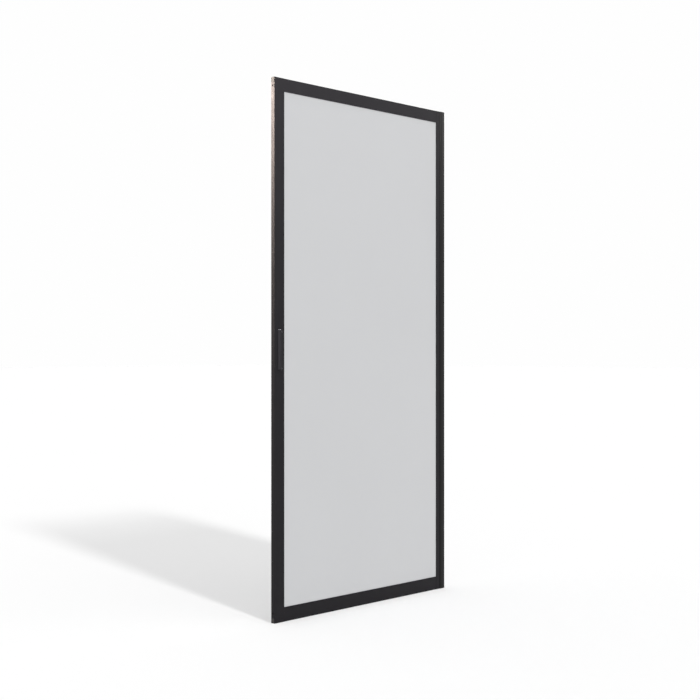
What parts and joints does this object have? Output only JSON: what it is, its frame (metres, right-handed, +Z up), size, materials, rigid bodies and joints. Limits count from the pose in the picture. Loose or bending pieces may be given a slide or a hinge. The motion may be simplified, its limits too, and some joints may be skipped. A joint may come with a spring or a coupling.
{
  "type": "framed glass side panel",
  "caption": "Tall satin glass side panel in a slim black aluminium frame, with a finger pull on the free stile and a wall channel on the other side.",
  "frame": {"origin": "middle of the wall channel's flat outer face", "axes": "+X out of the panel into the wall, +Y from the front, where the finger pull is, to the back, +Z up"},
  "size_m": [0.981, 0.0269, 2],
  "materials": {
    "frame_black": "satin powder coat on aluminium",
    "channel_black": "satin powder coat on aluminium",
    "satin_glass": "satin etched",
    "gasket_rubber": "matte",
    "cap_plastic": "fine moulded texture",
    "block_rubber": "matte",
    "pull_black": "satin powder coat on a zinc casting"
  },
  "bodies": {
    "root": {"left_stile": "frame_black", "right_stile": "frame_black", "top_rail": "frame_black", "bottom_rail": "frame_black", "wall_channel": "channel_black", "glass_pane": "satin_glass", "left_stile_top_cap": "cap_plastic", "left_stile_bottom_cap": "cap_plastic", "right_stile_top_cap": "cap_plastic", "right_stile_bottom_cap": "cap_plastic", "setting_block_left": "block_rubber", "setting_block_right": "block_rubber", "glazing_bead_top": "frame_black", "glazing_bead_bottom": "frame_black", "glazing_bead_left": "frame_black", "glazing_bead_right": "frame_black", "back_gasket_top": "gasket_rubber", "back_gasket_bottom": "gasket_rubber", "back_gasket_left": "gasket_rubber", "back_gasket_right": "gasket_rubber", "front_tape_top": "gasket_rubber", "front_tape_bottom": "gasket_rubber", "front_tape_left": "gasket_rubber", "front_tape_right": "gasket_rubber", "finger_pull": "pull_black"}
  },
  "joints": []
}
